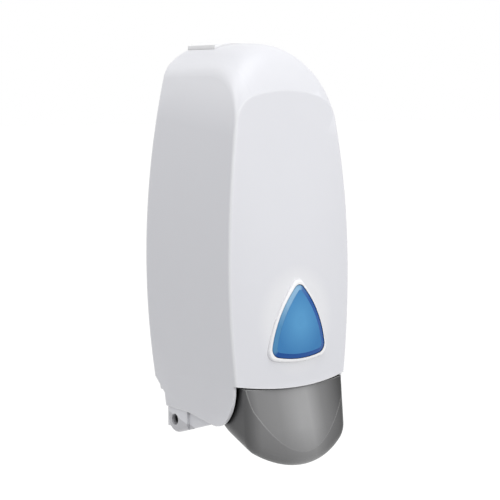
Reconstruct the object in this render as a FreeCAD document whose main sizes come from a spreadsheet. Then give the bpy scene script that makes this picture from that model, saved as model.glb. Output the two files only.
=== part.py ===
"""Wall mounted soap dispenser, millimetres.

Frame: +X to the user's right as seen from the front, +Y into the wall, +Z up.
The wall plane is Y = 0 and the origin is the centre of the four wall screws.
Bodies: the back plate and everything fixed to it, the cover that hinges on it,
the push lever that hangs in the cover, the pump plunger and the latch tongue.
"""
import FreeCAD, Part
import math
import os
import re

Vector = FreeCAD.Vector

doc = FreeCAD.newDocument("SoapDispenser")
sheet = doc.addObject("Spreadsheet::Sheet", "Sizes")

# ---------------------------------------------------------------- driving sizes
SIZES = [
    # cover, seen from the front: rear outline on the wall, front outline at the crease
    ("cover_depth", 93.0), ("cover_wall", 2.2), ("rear_half_width", 56.0),
    ("rear_belly_z", -5.0), ("rear_side_radius", 526.0), ("rear_apex_z", 145.8),
    ("rear_crown_ease", -5.0), ("rear_corner_radius", 20.0), ("front_half_width", 51.8),
    ("front_belly_z", -10.0), ("front_side_radius", 610.0), ("front_apex_z", 98.6),
    ("front_crown_ease", 84.0), ("front_corner_radius", 24.8), ("crown_power", 14.9),
    ("dome_power", 8.5), ("skirt_z", -84.0), ("skirt_low_z", -150.0),
    ("rear_low_half_width", 40.5), ("front_low_half_width", 45.0),
    # front panel of the cover
    ("panel_rise", 2.7), ("panel_z", -55.0), ("panel_lean_radius", 1750.0),
    ("panel_bow_top", 1.5), ("panel_bow_low", 6.5), ("panel_bow_half_width", 46.0),
    ("crease_radius", 2.0), ("edge_drop", 4.0), ("edge_z", -83.7), ("edge_setback", 3.5),
    # side lobes and hinge ears of the cover
    ("lobe_z", -114.7), ("lobe_setback", 27.7), ("lobe_length", 32.0), ("lobe_rear_z", -110.5),
    ("heel_top_z", -90.0), ("heel_z", -101.0), ("hinge_y", -19.0), ("hinge_z", -119.0),
    ("ear_radius", 9.5), ("ear_rise", 4.7), ("ear_thickness", 6.7), ("ear_length", 15.0),
    ("ear_chamfer", 3.0), ("web_recess", 2.0), ("web_height", 6.0), ("web_reach", 6.0),
    ("hinge_pin_radius", 3.93), ("hinge_pin_recess", 3.2), ("hinge_pin_end", 1.5),
    ("pin_clearance", 0.07),
    # window in the front panel, and its lens
    ("window_point_z", -15.0), ("window_low_z", -67.8), ("window_half_width", 23.4),
    ("window_corner_z", -64.3), ("window_side_bow", 5.0), ("window_top_radius", 5.0),
    ("window_corner_radius", 6.5), ("frame_width", 2.4), ("frame_height", 2.1),
    ("frame_round", 1.7), ("lens_gap", 0.2), ("lens_bevel_drop", 1.1), ("lens_bevel_width", 3.4),
    ("lens_proud", 2.7), ("lens_flange", 3.0),
    ("lens_flange_thickness", 1.5),
    # push lever
    ("lever_side_gap", 0.4), ("lever_wall", 2.2), ("lever_gap", 0.8), ("lobe_gap", 1.6),
    ("lever_way_reach", 22.0), ("lever_rise", 11.3), ("lever_front_bow", 8.5),
    ("lever_lean", 0.1), ("lever_slope", 0.4), ("chin_lean", 0.64), ("lever_corner_z", -116.0),
    ("lever_shelf_reach", 2.0), ("lever_shelf_drop", 1.0), ("lever_low_z", -128.4),
    ("lever_corner_radius", 13.0), ("lever_round", 7.0), ("scoop_rise", 3.5),
    ("scoop_slope", 0.31), ("scoop_bow", 0.2), ("scoop_drop", 6.0), ("lever_chin_setback", 7.0),
    ("lever_rear_z", -114.0), ("pivot_setback", 15.7), ("pivot_z", -80.0),
    ("pivot_rod_radius", 2.5), ("rod_clearance", 0.06), ("lever_tube_radius", 5.0),
    ("lever_tube_inset", 4.4), ("boss_radius", 5.8), ("boss_gap", 0.5), ("rod_end_reach", 1.6),
    ("fork_reach", 12.0), ("fork_inner_x", 12.5), ("fork_width", 5.0), ("fork_height", 5.0),
    ("fork_rise", 0.2),
    # back plate, its hood over the latch, and the hinge cheeks
    ("plate_thickness", 3.0), ("plate_gap", 1.0), ("plate_low_z", -100.0),
    ("plate_rim_depth", 9.0), ("plate_rim_wall", 2.0), ("screw_spacing_x", 60.0),
    ("screw_spacing_z", 90.0), ("wall_screw_radius", 2.5), ("cheek_thickness", 4.0),
    ("cheek_gap", 0.3), ("cheek_radius", 8.5), ("cheek_root", 12.0), ("hood_half_width", 19.5),
    ("hood_gap", 0.5), ("hood_depth", 32.5), ("hood_flat_depth", 26.5), ("hood_rise", 2.2),
    ("hood_arch", 3.4), ("hood_front_drop", 1.4), ("hood_front_arch", 2.0),
    ("hood_height", 24.0), ("hood_wall", 2.2), ("key_slot_y", -25.3), ("key_slot_width", 7.0),
    ("key_slot_depth", 3.0),
    # latch
    ("latch_half_width", 7.0), ("latch_gap", 0.35), ("latch_depth", 9.8), ("latch_height", 6.0),
    ("latch_rear_y", -18.0), ("latch_nose_y", -35.5), ("latch_nose_height", 3.0),
    ("latch_nose_length", 4.0), ("latch_post_gap", 0.3), ("latch_post_length", 4.0),
    ("latch_travel", 4.0), ("latch_rib", 2.0), ("latch_rib_rise", 1.0),
    ("latch_spring_length", 15.0), ("shelf_thickness", 3.0), ("catch_gap", 1.0),
    ("catch_thickness", 2.5), ("catch_half_width", 10.0), ("catch_reach", 5.0),
    ("latch_spring_radius", 3.0), ("latch_spring_wire", 0.45), ("latch_spring_turns", 6.0),
    # cradle that carries the refill, and its screws
    ("cradle_z", -60.0), ("cradle_thickness", 4.0), ("cradle_half_width", 30.0),
    ("cradle_reach", 24.0), ("cradle_hole_radius", 13.4), ("cradle_flange_height", 20.0),
    ("cradle_flange_thickness", 3.0), ("gusset_thickness", 2.5), ("gusset_reach", 22.0),
    ("cradle_screw_x", 22.0), ("cradle_screw_drop", 14.0), ("cradle_screw_radius", 1.75),
    ("cradle_screw_head", 3.5), ("cradle_screw_head_height", 2.2), ("screw_clearance", 0.05),
    ("screw_end_gap", 0.3),
    # refill bottle and pump, on one vertical axis
    ("pump_y", -46.0), ("bottle_half_width", 42.0), ("bottle_half_depth", 38.0),
    ("bottle_top_z", 98.0), ("bottle_shoulder_z", -22.0), ("bottle_corner_radius", 20.0),
    ("bottle_top_radius", 12.0), ("bottle_wall", 1.2), ("neck_radius", 19.0), ("neck_wall", 2.0),
    ("neck_top_z", -38.0), ("neck_low_z", -54.5), ("cap_radius", 23.0), ("cap_top_z", -41.0),
    ("cap_gap", 0.2), ("cap_ribs", 36.0), ("cap_floor", 2.0), ("cap_groove_radius", 0.6),
    ("cap_groove_out", 0.1), ("gasket_thickness", 1.5), ("flange_thickness", 2.0),
    ("flange_gap", 0.5), ("chamber_radius", 12.6), ("chamber_bore", 10.2),
    ("chamber_low_z", -64.0), ("chamber_top_z", -14.0), ("chamber_end", 2.0),
    ("inlet_radius", 2.5), ("cage_radius", 7.0), ("cage_bore", 4.3), ("cage_top_z", -1.0),
    ("cage_end", 1.5), ("cage_port_radius", 2.0), ("cage_port_rise", 6.5), ("ball_radius", 3.5),
    ("ball_gap", 0.02), ("stem_radius", 5.0), ("stem_bore", 2.5), ("stem_gland", 0.08),
    ("piston_gap", 0.3), ("spigot_radius", 3.8), ("piston_z", -49.0), ("piston_height", 5.0),
    ("seal_section", 1.0), ("seal_gap", 0.08), ("spring_wire", 0.7), ("spring_radius", 7.4),
    ("spring_turns", 7.0), ("collar_radius", 18.0), ("collar_z", -79.5),
    ("collar_thickness", 3.0), ("nozzle_radius", 8.0), ("nozzle_bore", 5.6),
    ("nozzle_low_z", -112.0), ("tip_length", 6.0), ("tip_plug_length", 4.0), ("tip_gap", 0.05),
    ("tip_radius", 5.0), ("tip_bore", 3.4), ("mesh_thickness", 0.8), ("mesh_count", 2.0),
    ("mesh_z", -100.0), ("mesh_spacing", 6.0), ("mesh_gap", 0.03),
]

# Places and sizes that follow from the driving ones.
PLACES = [
    ("panel_y", "-(cover_depth + panel_rise)"),
    ("edge_y", "panel_y + edge_setback"),
    ("lobe_y", "panel_y + lobe_setback"),
    ("lobe_rear_y", "lobe_y + lobe_length"),
    ("web_front_y", "lobe_y + web_reach"),
    ("ear_front_y", "hinge_y - ear_length"),
    ("ear_outer_x", "rear_low_half_width + ear_rise"),
    ("ear_inner_x", "ear_outer_x - ear_thickness"),
    ("pivot_y", "panel_y + pivot_setback"),
    ("lever_half_width", "front_low_half_width - cover_wall - lever_side_gap"),
    ("lever_front_y", "panel_y - lever_rise"),
    ("scoop_y", "panel_y - scoop_rise"),
    ("lever_rear_y", "pivot_y + lever_chin_setback"),
    ("lever_way_rear_y", "pivot_y + lever_way_reach"),
    ("lever_tube_half", "lever_half_width - lever_tube_inset"),
    ("rod_half_length", "lever_half_width + rod_end_reach"),
    ("fork_tip_y", "pump_y + fork_reach"),
    ("cradle_front_y", "pump_y - cradle_reach"),
    ("hood_apex_z", "rear_apex_z + hood_rise"),
    ("hood_end_z", "hood_apex_z - hood_arch"),
    ("hood_front_apex_z", "hood_apex_z - hood_front_drop"),
    ("hood_front_end_z", "hood_front_apex_z - hood_front_arch"),
    ("hood_low_z", "hood_apex_z - hood_height"),
    ("latch_top_z", "rear_apex_z - latch_depth"),
    ("shelf_z", "latch_top_z - latch_height - latch_spring_length - shelf_thickness"),
    ("catch_low_z", "latch_top_z - catch_reach"),
]

for row, (name, value) in enumerate(SIZES, start=1):
    sheet.set("A%d" % row, name)
    sheet.set("B%d" % row, repr(value))
    sheet.setAlias("B%d" % row, name)
doc.recompute()

OVER = 5.0  # how far a cutting tool runs past the faces that it cuts
FAR = 60.0  # a length that passes right through or round the dispenser's shell
WINDOW_SLOPE = math.radians(42)  # half the angle between the window's sides at its point
TINY = 0.001  # a length too small to matter
SLANT = math.sqrt(0.5)  # the sine and cosine of 45 degrees
LOBE_PULL = 1.2  # how full the lobes' lower edge is: 1 for a plain quarter of an ellipse
JOIN = 0.5  # how far two pieces of one moulding run into each other

# where the cover's outline is drawn, in shares of its depth: past 1 the panel trims it
FORM_SHARES = (0.0, 0.05, 0.1, 0.16, 0.22, 0.29, 0.36, 0.43, 0.5, 0.57, 0.64, 0.7, 0.76, 0.81, 0.86,
               0.9, 0.94, 0.97, 1.0, 1.05, 1.1, 1.18)
RIB_SHARES = (-0.85, -0.3, 0.3, 0.85)  # the lever's ribs, in shares of half its pivot tube
PANEL_ROWS, PANEL_COLUMNS = 12, 8  # the grid of points that the front panel's surface runs through

DRIVING = re.compile(r"\b(%s)\b" % "|".join(name for name, value in SIZES))
FOLLOWING = re.compile(r"\b(%s)\b" % "|".join(name for name, text in PLACES))
NODES = []


def bound(text):
    """An expression on the document's sizes and places, from plain names."""
    return FOLLOWING.sub(r"Places.\1", DRIVING.sub(r"Sizes.\1", text))


places = doc.addObject("App::VarSet", "Places")
for name, text in PLACES:
    places.addProperty("App::PropertyFloat", name)
    places.setExpression(name, bound(text))
doc.recompute()


def size(name):
    """The value of that driving size or place."""
    return float(getattr(places if FOLLOWING.fullmatch(name) else sheet, name))


def set_sizes(thing, **sizes):
    """Bind properties of an object to the sheet; Base_x stands for Placement.Base.x."""
    for prop, text in sizes.items():
        path = "Placement.Base." + prop[-1] if prop.startswith("Base_") else prop
        thing.setExpression(path, bound(text))


# ---------------------------------------------------------------- building blocks
def block(name, x, y, z):
    """A box from three pairs of expressions, low and high."""
    box = doc.addObject("Part::Box", name)
    set_sizes(box, Length="(%s) - (%s)" % (x[1], x[0]), Width="(%s) - (%s)" % (y[1], y[0]),
              Height="(%s) - (%s)" % (z[1], z[0]), Base_x=x[0], Base_y=y[0], Base_z=z[0])
    return box


def upright(name, radius, low, high, x="0", y="pump_y"):
    """A cylinder along Z."""
    rod = doc.addObject("Part::Cylinder", name)
    set_sizes(rod, Radius=radius, Height="(%s) - (%s)" % (high, low), Base_x=x, Base_y=y, Base_z=low)
    return rod


def crosswise(name, radius, low, high, y, z):
    """A cylinder along X."""
    rod = doc.addObject("Part::Cylinder", name)
    rod.Placement = FreeCAD.Placement(Vector(), FreeCAD.Rotation(Vector(0, 1, 0), 90))
    set_sizes(rod, Radius=radius, Height="(%s) - (%s)" % (high, low), Base_x=low, Base_y=y, Base_z=z)
    return rod


def lengthwise(name, radius, rear, front, x, z):
    """A cylinder along Y, from its rear end forwards."""
    rod = doc.addObject("Part::Cylinder", name)
    rod.Placement = FreeCAD.Placement(Vector(), FreeCAD.Rotation(Vector(1, 0, 0), 90))
    set_sizes(rod, Radius=radius, Height="(%s) - (%s)" % (rear, front), Base_x=x, Base_y=rear, Base_z=z)
    return rod


def cone(name, low_radius, high_radius, low, high, y="pump_y"):
    """A cone frustum along Z."""
    frustum = doc.addObject("Part::Cone", name)
    set_sizes(frustum, Radius1=low_radius, Radius2=high_radius, Height="(%s) - (%s)" % (high, low),
              Base_y=y, Base_z=low)
    return frustum


def fuse(name, parts):
    joined = doc.addObject("Part::MultiFuse", name)
    joined.Shapes = parts
    return joined


def cut(name, base, tools):
    """The base less all the tools."""
    tool = tools[0] if len(tools) == 1 else fuse(name + "_tools", tools)
    result = doc.addObject("Part::Cut", name)
    result.Base = base
    result.Tool = tool
    return result


def group(name, parts):
    """Identical pieces that stay separate solids in one node."""
    pieces = doc.addObject("Part::Compound", name)
    pieces.Links = parts
    return pieces


def shaped(name, shape):
    """A sub-part whose shape is made with Part's own functions."""
    feature = doc.addObject("Part::Feature", name)
    feature.Shape = shape
    return feature


def node(label, thing):
    """Give a finished sub-part its name and keep it for export."""
    thing.Label = label
    NODES.append(thing)
    return thing


# ---------------------------------------------------------------- cover surfaces
def mix(rear, front, share):
    return rear + (front - rear) * share


def tangent_arc(side_centre, side_radius, crown_centre, crown_radius, radius):
    """Centre of a circle that touches two larger ones from inside, at their upper meeting."""
    a = side_radius - radius
    b = crown_radius - radius
    span = crown_centre - side_centre
    gap = span.Length
    along = (a * a - b * b + gap * gap) / (2 * gap)
    height = math.sqrt(a * a - along * along)
    direction = span.normalize()
    normal = Vector(direction.z, 0, -direction.x)
    first = side_centre + direction * along + normal * height
    second = side_centre + direction * along - normal * height
    return first if first.z > second.z else second


def arc(start, middle, end):
    return Part.Arc(start, middle, end).toShape()


def dome_at(share):
    """Height of the dome's ridge, level towards the wall and steep above the front panel."""
    power = size("dome_power")
    fall = max(share, 0) ** power if share < 1 else 1 + power * (share - 1)
    return mix(size("rear_apex_z"), size("front_apex_z"), fall)


def cover_section(share, inset):
    """The cover's outline in the plane at this share of its depth, inset by a wall.

    Its crown is an arc a little tighter than half round by the wall and nearly flat in front, with
    a rounded corner on each side where it meets the bowed sides.
    """
    y = -size("cover_depth") * share
    flat = min(max(share, 0), 1) ** size("crown_power")
    half = mix(size("rear_half_width"), size("front_half_width"), share)
    belly = mix(size("rear_belly_z"), size("front_belly_z"), share)
    side_radius = mix(size("rear_side_radius"), size("front_side_radius"), share) - inset
    corner_radius = mix(size("rear_corner_radius"), size("front_corner_radius"), flat) - inset
    low_half = mix(size("rear_low_half_width"), size("front_low_half_width"), share) - inset
    crown_radius = half + mix(size("rear_crown_ease"), size("front_crown_ease"), flat) - inset
    apex = dome_at(share) - inset
    half -= inset

    side_centre = Vector(half - side_radius, y, belly)
    crown_centre = Vector(0, y, apex - crown_radius)
    corner_centre = tangent_arc(side_centre, side_radius, crown_centre, crown_radius, corner_radius)
    side_top = corner_centre + (corner_centre - side_centre).normalize() * corner_radius
    crown_end = corner_centre + (corner_centre - crown_centre).normalize() * corner_radius
    between = ((side_top + crown_end) * 0.5 - corner_centre).normalize()
    corner_middle = corner_centre + between * corner_radius

    drop = size("skirt_z") - belly
    skirt = Vector(side_centre.x + math.sqrt(side_radius ** 2 - drop ** 2), y, size("skirt_z"))
    low = Vector(low_half, y, size("skirt_low_z"))
    belly_point = Vector(half, y, belly)

    def left(point):
        return Vector(-point.x, point.y, point.z)

    edges = [
        Part.LineSegment(left(low), low).toShape(),
        Part.LineSegment(low, skirt).toShape(),
        arc(skirt, belly_point, side_top),
        arc(side_top, corner_middle, crown_end),
        arc(crown_end, Vector(0, y, apex), left(crown_end)),
        arc(left(crown_end), left(corner_middle), left(side_top)),
        arc(left(side_top), left(belly_point), left(skirt)),
        Part.LineSegment(left(skirt), left(low)).toShape(),
    ]
    return Part.Wire(edges)


def cover_form(inset):
    """The solid inside the cover's outer skin, or inside its wall where it is inset."""
    return Part.makeLoft([cover_section(share, inset) for share in FORM_SHARES], True, False)


def panel_y_at(z):
    """Where the crease lies at this height: the panel leans back towards its top."""
    return size("panel_y") + (z - size("panel_z")) ** 2 / (2 * size("panel_lean_radius"))


def panel_bow_at(z):
    """How far the middle of the panel stands in front of the crease."""
    share = (size("front_apex_z") - z) / (size("front_apex_z") - size("panel_z"))
    share = min(max(share, 0.0), 1.0)
    smooth = share * share * (3 - 2 * share)
    return mix(size("panel_bow_top"), size("panel_bow_low"), smooth)


def panel_face_at(x, z):
    """Where the panel's outer face lies."""
    return panel_y_at(z) - panel_bow_at(z) * (1 - (x / size("panel_bow_half_width")) ** 2)


def in_front_of_panel(shift):
    """The space in front of the cover's front panel, moved back by shift."""
    reach = size("front_half_width") + FAR / 2
    high = size("rear_apex_z") + FAR / 4
    low = size("skirt_low_z") - FAR / 4
    rows = []
    for row in range(PANEL_ROWS + 1):
        z = mix(low, high, row / PANEL_ROWS)
        across = [mix(-reach, reach, column / PANEL_COLUMNS) for column in range(PANEL_COLUMNS + 1)]
        rows.append([Vector(x, panel_face_at(x, z) + shift, z) for x in across])
    surface = Part.BSplineSurface()
    surface.interpolate(rows)
    return surface.toShape().extrude(Vector(0, -FAR, 0))


def prism_x(edges, low, high):
    """A profile in the YZ plane, drawn at X = 0, pushed from low to high along X."""
    face = Part.Face(Part.Wire(edges))
    face.translate(Vector(low, 0, 0))
    return face.extrude(Vector(high - low, 0, 0))


def lines(points, closed=True):
    loop = points + points[:1] if closed else points
    return [Part.LineSegment(a, b).toShape() for a, b in zip(loop, loop[1:])]


def below_lobes():
    """All that lies under and in front of the side lobes' curved lower edge."""
    top = Vector(0, size("edge_y"), size("edge_z"))
    bottom = Vector(0, size("lobe_y"), size("lobe_z"))
    depth = bottom.y - top.y
    height = top.z - bottom.z
    middle = Vector(0, bottom.y - depth * SLANT, top.z - height * SLANT)
    curve = Part.BSplineCurve()
    curve.interpolate([top, middle, bottom],
                      Tangents=[Vector(0, 0, -LOBE_PULL * height), Vector(0, depth, -height) * SLANT,
                                Vector(0, LOBE_PULL * depth, 0)],
                      TangentFlags=[True, True, True])
    floor = size("skirt_low_z") - FAR / 2
    behind = FAR / 2
    corners = [bottom, Vector(0, size("lobe_rear_y"), size("lobe_rear_z")),
               Vector(0, behind, size("lobe_rear_z")), Vector(0, behind, floor),
               Vector(0, top.y, floor), top]
    return prism_x([curve.toShape()] + lines(corners, closed=False), -2 * FAR, 2 * FAR)


def behind_heel():
    """The lower rear corner that is cut back so that the cover can swing off the wall."""
    rear = size("hinge_y") + size("ear_radius")
    behind = FAR / 2
    floor = size("skirt_low_z") - FAR / 2
    points = [Vector(0, 0, size("heel_top_z")), Vector(0, rear, size("heel_z")), Vector(0, rear, floor),
              Vector(0, behind, floor), Vector(0, behind, size("heel_top_z"))]
    return prism_x(lines(points), -2 * FAR, 2 * FAR)


def edge_arc(y, gap):
    """The front panel's bowed lower edge, drawn past its ends and lowered by a gap."""
    half = size("front_half_width")
    bend = size("edge_drop") / size("panel_bow_half_width") ** 2
    middle_z = size("edge_z") - size("edge_drop") - gap
    end_z = middle_z + bend * half ** 2
    left, right = Vector(-half, y, end_z), Vector(half, y, end_z)
    return left, right, arc(left, Vector(0, y, middle_z), right)


def below_panel_edge():
    """The space under the front panel's lower edge."""
    left, right, edge = edge_arc(size("edge_y"), 0.0)
    low = Vector(0, 0, size("skirt_low_z") - FAR - left.z)
    face = Part.Face(Part.Wire([edge] + lines([right, right + low, left + low, left], closed=False)))
    return face.extrude(Vector(0, -FAR, 0))


def lever_way():
    """The room between the lobes that the lever swings in, behind the panel's lower edge."""
    depth = size("lever_way_rear_y") - size("edge_y")
    behind = below_panel_edge().translated(Vector(0, depth, 0))
    half = size("lever_half_width") + size("lobe_gap")
    low = size("skirt_low_z") - FAR
    between = Part.makeBox(2 * half, depth, size("edge_z") - low, Vector(-half, size("edge_y"), low))
    return behind.common(between)


# ---------------------------------------------------------------- window
def window_prism(outset):
    """The window's rounded triangle, grown by outset and pushed through the panel."""
    rear, front = size("panel_y") + FAR / 3, size("panel_y") - FAR / 2
    top = Vector(0, rear, size("window_point_z") + outset / math.sin(WINDOW_SLOPE))
    right = Vector(size("window_half_width") + outset, rear, size("window_corner_z") - outset)
    left = Vector(-right.x, rear, right.z)
    low = Vector(0, rear, size("window_low_z") - outset)
    along = (right - top).normalize()
    side = (top + right) * 0.5 + Vector(-along.z, 0, along.x) * size("window_side_bow")
    other = Vector(-side.x, rear, side.z)
    edges = [arc(top, side, right), arc(right, low, left), arc(left, other, top)]
    solid = Part.Face(Part.Wire(edges)).extrude(Vector(0, front - rear, 0))
    for x, radius in ((0, "window_top_radius"), (right.x, "window_corner_radius"),
                      (left.x, "window_corner_radius")):
        corner = [e for e in solid.Edges if abs(e.CenterOfMass.x - x) < TINY
                  and e.BoundBox.XLength < TINY and e.BoundBox.ZLength < TINY]
        solid = solid.makeFillet(size(radius), corner)
    return solid


def front_rim(solid):
    """The edges round the front face of a solid made by window_prism."""
    face = min(solid.Faces, key=lambda f: f.CenterOfMass.y)
    return face.Edges


def window_frame():
    """The low raised frame round the window, with a rounded outer edge."""
    frame = window_prism(size("frame_width"))
    frame = frame.common(in_front_of_panel(size("cover_wall") / 2))
    frame = frame.cut(in_front_of_panel(-size("frame_height")))
    return frame.makeFillet(size("frame_round"), front_rim(frame))


def window_lens():
    """A blue lens that fills the window, bevelled all round, with a flange behind the panel."""
    seat = size("cover_wall") + size("lens_gap") / 2
    plug = window_prism(-size("lens_gap"))
    plug = plug.common(in_front_of_panel(seat + size("lens_flange_thickness") / 2))
    plug = plug.cut(in_front_of_panel(-size("lens_proud")))
    plug = plug.makeChamfer(size("lens_bevel_drop"), size("lens_bevel_width"), front_rim(plug))
    flange = window_prism(size("lens_flange"))
    flange = flange.common(in_front_of_panel(seat + size("lens_flange_thickness")))
    flange = flange.cut(in_front_of_panel(seat))
    return plug.fuse(flange).removeSplitter()


# ---------------------------------------------------------------- cover
def ear(side):
    """A hinge ear: a round boss on the hinge line, with a web carried forward under the lobe."""
    y, z, radius = size("hinge_y"), size("hinge_z"), size("ear_radius")
    rear, top, front = y + radius, size("heel_z"), size("ear_front_y")
    slope = (size("lobe_z") - (z - radius)) / (size("web_front_y") - y)
    turn = math.atan(slope)
    foot = Vector(0, y + radius * math.sin(turn), z - radius * math.cos(turn))

    def under(at):
        return Vector(0, at, foot.z + slope * (at - foot.y))

    heel = Vector(0, y + radius * SLANT, z - radius * SLANT)
    corners = [foot, under(front), Vector(0, front, top), Vector(0, rear, top), Vector(0, rear, z)]
    edges = [arc(Vector(0, rear, z), heel, foot)] + lines(corners, closed=False)
    outer = side * size("ear_outer_x")
    solid = prism_x(edges, *sorted((side * size("ear_inner_x"), outer)))
    rim = [e for e in solid.Edges if e.BoundBox.XLength < TINY and abs(e.CenterOfMass.x - outer) < TINY
           and e.CenterOfMass.y > y and e.CenterOfMass.z < top - JOIN]
    solid = solid.makeFillet(size("ear_chamfer"), rim)
    end = under(size("web_front_y"))
    points = [under(front), end, end + Vector(0, 0, size("web_height")), Vector(0, front, top)]
    face = size("ear_outer_x") - size("web_recess")
    return solid.fuse(prism_x(lines(points), *sorted((side * (face - size("cover_wall")), side * face))))


def pivot_boss(side):
    """The boss inside the cover's side that holds one end of the lever's pivot rod."""
    start = size("lever_tube_half") + size("boss_gap")
    reach = size("front_half_width") - start
    return Part.makeCylinder(size("boss_radius"), reach,
                             Vector(side * start, size("pivot_y"), size("pivot_z")), Vector(side, 0, 0))


def catch():
    """The lip under the dome that the latch's nose hooks behind."""
    half = size("catch_half_width")
    front = size("latch_nose_y") - size("catch_gap") - size("catch_thickness")
    return Part.makeBox(2 * half, size("catch_thickness"), size("rear_apex_z") - size("catch_low_z"),
                        Vector(-half, front, size("catch_low_z")))


def bore(radius, half, y, z):
    """A cylinder along X, through both sides."""
    return Part.makeCylinder(radius, 2 * half, Vector(-half, y, z), Vector(1, 0, 0))


def on_crease(edge):
    """True for the edges where the front panel meets the sides and the dome."""
    middle = edge.valueAt((edge.FirstParameter + edge.LastParameter) / 2)
    crosses = edge.BoundBox.YLength > size("cover_depth") / 2
    return not crosses and middle.y < -size("cover_depth") / 2 and middle.z > size("skirt_low_z") + OVER


def cover_skin():
    """The cover's outer form, with its rounded crease, and the same form inside its wall."""
    wall = size("cover_wall")
    outer = cover_form(0.0).cut(in_front_of_panel(0.0))
    outer = outer.makeFillet(size("crease_radius"), [e for e in outer.Edges if on_crease(e)])
    inner = cover_form(wall).cut(in_front_of_panel(wall))
    return outer, inner


def cover_shell():
    """The cover: a shell open to the wall, with the window, lobes, ears, bosses and catch."""
    outer, inner = cover_skin()
    shell = outer.cut(inner).fuse(window_frame()).removeSplitter()
    shell = shell.cut([window_prism(0.0), below_lobes(), below_panel_edge(), behind_heel(), lever_way()])
    inside = [piece.common(outer) for piece in (catch(), pivot_boss(1), pivot_boss(-1))]
    shell = shell.fuse([ear(1), ear(-1)] + inside)
    half = size("hood_half_width") + size("hood_gap")
    depth = size("hood_depth") + size("hood_gap")
    notch = Part.makeBox(2 * half, depth + OVER, FAR, Vector(-half, -depth, size("shelf_z") - OVER))
    pin_hole = bore(size("hinge_pin_radius") + size("pin_clearance"), FAR, size("hinge_y"), size("hinge_z"))
    rod_hole = bore(size("pivot_rod_radius") + size("rod_clearance"),
                    size("rod_half_length") + size("rod_clearance"), size("pivot_y"), size("pivot_z"))
    return shell.cut([notch, pin_hole, rod_hole])


# ---------------------------------------------------------------- push lever
def lever_chin(inset):
    """The lever's rounded outer form, or the hollow inside its wall.

    Seen from the front its sides run down into a wide arc; the form slopes down towards the front.
    """
    half = size("lever_half_width") - inset
    low = size("lever_low_z") + inset
    corner = size("lever_corner_z") + inset / 2
    top = size("pivot_z") + FAR / 3
    rear = size("lever_rear_y")
    depth = rear - size("lever_front_y") + 2 * OVER
    drop = depth * size("lever_slope")
    left, right = Vector(-half, rear, corner), Vector(half, rear, corner)
    edges = [arc(left, Vector(0, rear, low), right)]
    edges += lines([right, Vector(half, rear, top), Vector(-half, rear, top), left], closed=False)
    solid = Part.Face(Part.Wire(edges)).extrude(Vector(0, -depth, -drop))
    sides = [e for e in solid.Edges if abs(abs(e.CenterOfMass.x) - half) < TINY
             and e.BoundBox.YLength > depth / 2 and e.CenterOfMass.z < top - drop]
    solid = solid.makeFillet(size("lever_corner_radius") - inset, sides)
    solid = solid.cut(in_front_of_lever(inset))
    rim = [e for e in solid.Edges if e.CenterOfMass.y < size("scoop_y") + 2 * OVER
           and e.CenterOfMass.z < top - drop - JOIN]
    return solid.makeFillet(size("lever_round") - inset, rim)


def in_front_of_bow(middle_at, bow):
    """The space in front of a bowed, leaning face whose middle lies at middle_at(z)."""
    wide = size("lever_half_width") + FAR / 3
    far = size("lever_front_y") - FAR
    wires = []
    for z in (size("pivot_z") + FAR / 2, size("lever_low_z") - FAR / 2):
        middle = middle_at(z)
        end = middle + bow * (wide / size("lever_half_width")) ** 2
        left, right = Vector(-wide, end, z), Vector(wide, end, z)
        wires.append(Part.Wire([arc(left, Vector(0, middle, z), right)]
                               + lines([right, Vector(wide, far, z), Vector(-wide, far, z), left], False)))
    return Part.makeLoft(wires, True, True)


def in_front_of_lever(inset):
    """The space in front of the lever's bowed front, which leans forward going down."""
    def middle_at(z):
        return size("lever_front_y") + (z - size("pivot_z")) * size("lever_lean") + inset

    return in_front_of_bow(middle_at, size("lever_front_bow"))


def in_front_of_scoop(inset):
    """The space in front of the scoop, the leaning face that the fingers push."""
    bow = size("scoop_bow")
    start = size("edge_z") - size("scoop_drop")

    def middle_at(z):
        return size("scoop_y") - bow + (z - start) * size("scoop_slope") + inset

    return in_front_of_bow(middle_at, bow)


def lever_mask():
    """The part of the lever that shows: chin and scoop as one open shell."""
    wall = size("lever_wall")
    outer = lever_chin(0.0).cut(in_front_of_scoop(0.0))
    inner = lever_chin(wall).cut(in_front_of_scoop(wall))
    rear = Vector(0, size("lever_rear_y"), size("lever_rear_z"))
    low = rear + Vector(0, -size("chin_lean"), -1) * FAR
    behind = prism_x(lines([rear, low, Vector(0, FAR, low.z), Vector(0, FAR, rear.z)]), -FAR, FAR)
    left, right, edge = edge_arc(size("lever_front_y") - FAR, size("lever_gap"))
    up = Vector(0, 0, FAR)
    above = Part.Face(Part.Wire([edge] + lines([right, right + up, left + up, left], closed=False)))
    return outer.cut([inner, behind, above.extrude(Vector(0, 3 * FAR, 0))])


def lever_shelf(top):
    """The shelf behind the scoop's upper edge, and the ribs that tie it to the pivot tube."""
    wall = size("lever_wall")
    half = size("lever_half_width") - wall / 2
    front = size("lever_front_y")
    rear = size("pivot_y") + size("lever_shelf_reach")
    low = top - wall - size("lever_shelf_drop")
    shelf = Part.makeBox(2 * half, rear - front, wall, Vector(-half, front, low))
    pieces = [shelf.cut(in_front_of_scoop(wall / 2))]
    radius = size("lever_tube_radius")
    for share in RIB_SHARES:
        x = share * size("lever_tube_half") - wall / 2
        pieces.append(Part.makeBox(wall, 2 * radius, size("pivot_z") - top + wall,
                                   Vector(x, size("pivot_y") - radius, top - wall)))
    return pieces


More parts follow.
